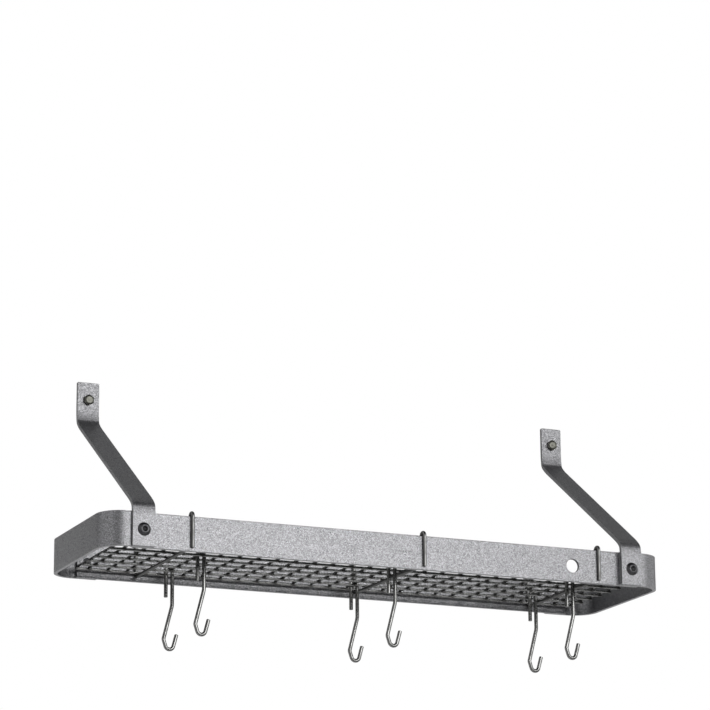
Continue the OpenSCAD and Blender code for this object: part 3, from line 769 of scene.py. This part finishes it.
# --- Wire shelf ---------------------------------------------------------------------------------------
# Eight long wires with shorter wires laid across them and spot-welded at every crossing; each weld
# leaves a small bulge and a dark, heated patch. The shelf only lies on the hangers and lifts out.
WIRE_RADIUS, WIRE_SIDES, WIRE_CHAMFER, WELD_SINK = 1.6, 14, 0.3, 0.3
SHELF_SHIFT, SHELF_GAP, LONG_INSET, LONG_COUNT = 2.5, 30.5, 16.05, 8
CROSS_PITCH, LONG_OVERHANG, CROSS_OVERHANG, REST_GAP = 25.85, 3.1, 2.5, 0.3
BULGE_WIDTH, BULGE_HEIGHT, BULGE_SEGMENTS, BULGE_RINGS = 1.45, 0.75, 10, 5
HEAT_START, HEAT_END, HEAT_SHARE, HEATED_STEEL = 1.4, 4.4, 0.75, (0.05, 0.048, 0.045, 1)
WIRE_BRIGHT, WIRE_DULL = (0.265, 0.265, 0.26, 1), (0.14, 0.14, 0.135, 1)
shelf_length = RACK_LENGTH - 2 * SHELF_GAP
long_span = RACK_DEPTH - 2 * LONG_INSET
long_pitch = long_span / (LONG_COUNT - 1)
long_z = BAR_BOTTOM + HANGER_BAR + ROD_RADIUS + REST_GAP + WIRE_RADIUS
cross_z = long_z + 2 * WIRE_RADIUS - WELD_SINK
front_wire_y = LONG_INSET - RACK_DEPTH
last_cross_x = SHELF_SHIFT + shelf_length / 2 - LONG_OVERHANG
first_cross_x = SHELF_SHIFT - shelf_length / 2 + LONG_OVERHANG
cross_count = 1 + math.floor((last_cross_x - first_cross_x - 4 * WIRE_RADIUS) / CROSS_PITCH)
long_ys = [front_wire_y + k * long_pitch for k in range(LONG_COUNT)]
cross_xs = [last_cross_x - k * CROSS_PITCH for k in range(cross_count)] + [first_cross_x]

repeated, given = new_growth("set_out_on_points", Pattern="Object", Metal="Material")
number = add(repeated, "GeometryNodeInputIndex").outputs[0]
one = add(repeated, "GeometryNodeObjectInfo", {"Object": given["Pattern"]}).outputs["Geometry"]
many = add(repeated, "GeometryNodeInstanceOnPoints",
           {"Points": keep(repeated, given["Geometry"], "number", number), "Instance": one}).outputs[0]
many = add(repeated, "GeometryNodeRealizeInstances", {"Geometry": many}).outputs[0]
shifted = add(repeated, "ShaderNodeCombineXYZ", {2: kept(repeated, "number")}).outputs[0]
apart = vector_sum(repeated, kept(repeated, "drawn", "FLOAT_VECTOR"), shifted)
many = dropped(repeated, keep(repeated, many, "drawn", apart, "FLOAT_VECTOR"), "number")
close_growth(repeated, many, given["Metal"])


def weld_heat(tree, where, color):
    """A wire's colour, darkened round each crossing, where the weld has heated it."""
    split = add(tree, "ShaderNodeSeparateXYZ", {0: where}).outputs
    squares = []
    for axis, start, pitch in (("X", last_cross_x, CROSS_PITCH), ("Y", front_wire_y, long_pitch)):
        share = sums(tree, "DIVIDE", sums(tree, "SUBTRACT", split[axis], start * MM), pitch * MM)
        off = sums(tree, "SUBTRACT", sums(tree, "FRACT", sums(tree, "ADD", share, 0.5)), 0.5)
        squares.append(sums(tree, "POWER", sums(tree, "MULTIPLY", off, pitch), 2.0))
    distance = sums(tree, "SQRT", sums(tree, "ADD", *squares))
    heat = ramp(tree, distance, HEAT_START, HEAT_END, HEAT_SHARE, 0.0, "SMOOTHSTEP")
    return mixed(tree, heat, color, HEATED_STEEL)


wire_metal = rod_finish("shelf_wire", WIRE_BRIGHT, WIRE_DULL, line_depth=0.3, roughness=0.16, heated=weld_heat)


def set_out(pattern, places, sharp_degrees=32):
    """One mesh with a copy of a pattern at each place."""
    seed = bpy.data.objects.new("pattern", pattern)
    row = grown(repeated, [Vector(p) * MM for p in places], False, Pattern=seed, Metal=wire_metal)
    bpy.data.objects.remove(seed)
    smooth(row, sharp_degrees)
    return row


def row_of_wires(length, way, places):
    """One straight wire, set out at each place."""
    half = Vector(way) * length / 2 * MM
    wire = drawn_rod([-half, Vector((0, 0, 0)), half], WIRE_RADIUS, WIRE_SIDES, WIRE_CHAMFER, wire_metal)
    return set_out(wire, places)


long_wires = row_of_wires(shelf_length, ALONG_WALL, [(SHELF_SHIFT, y, long_z) for y in long_ys])
fitted("long_shelf_wires", long_wires, "shelf", "shelf_wire", "shelf_long_wires")
cross_wires = row_of_wires(long_span + 2 * CROSS_OVERHANG, INTO_WALL, [(x, -RACK_DEPTH / 2, cross_z) for x in cross_xs])
fitted("cross_shelf_wires", cross_wires, "shelf", "shelf_wire", "shelf_cross_wires")

bulge = bmesh.new()
bmesh.ops.create_uvsphere(bulge, u_segments=BULGE_SEGMENTS, v_segments=BULGE_RINGS, radius=MM)
bulge.transform(Matrix.Diagonal((BULGE_WIDTH, BULGE_WIDTH, BULGE_HEIGHT, 1)))
welds = set_out(mesh_of(bulge, "weld"), [(x, y, (long_z + cross_z) / 2) for x in cross_xs for y in long_ys], 60)
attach(in_scene("shelf_welds", welds), "shelf")

# --- Pot hooks ----------------------------------------------------------------------------------------
# Six double hooks of bare steel rod hang over the cross wires. Each has a short straight leg and a long
# one that leans out, comes back at the knee and ends in the bowl that holds a pan.
HOOK_RADIUS, HOOK_SIDES, HOOK_SHORT = 2.5, 24, 35.4
HOOK_BRIGHT, HOOK_DULL = (0.2, 0.2, 0.196, 1), (0.155, 0.155, 0.15, 1)
seat_radius = WIRE_RADIUS + REST_GAP + HOOK_RADIUS
# Straight run, bend radius and turn, from the end of the short leg to the tip of the bowl
HOOK_STEPS = [(HOOK_SHORT, seat_radius, 180), (43.3, 20, 14.5), (41.8, 5.5, -32.5), (7.8, 5.6, -146.5),
              (16.2, 0, 0)]
# Name, cross wire counted from the right, and share of the way back along it
HOOK_PLACES = (("left_rear", 23, 0.92), ("left_front", 23, 0.3114), ("middle_rear", 13, 0.8814),
               ("middle_front", 13, 0.2386), ("right_rear", 3, 0.8143), ("right_front", 3, 0.2414))
hook_steel = rod_finish("hook_steel", HOOK_BRIGHT, HOOK_DULL, line_depth=0.2, roughness=0.2)
for label, cross, share in HOOK_PLACES:
    start = (cross_xs[cross] - seat_radius, front_wire_y + share * long_span, cross_z - HOOK_SHORT)
    path = laid(bent_path(HOOK_STEPS), start, ALONG_WALL, UP)
    hook = drawn_rod(path, HOOK_RADIUS, HOOK_SIDES, CUT_CHAMFER, hook_steel)
    smooth(hook)
    fitted(label + "_pot_hook", hook, label + "_hook", "hook_steel", label + "_hook")
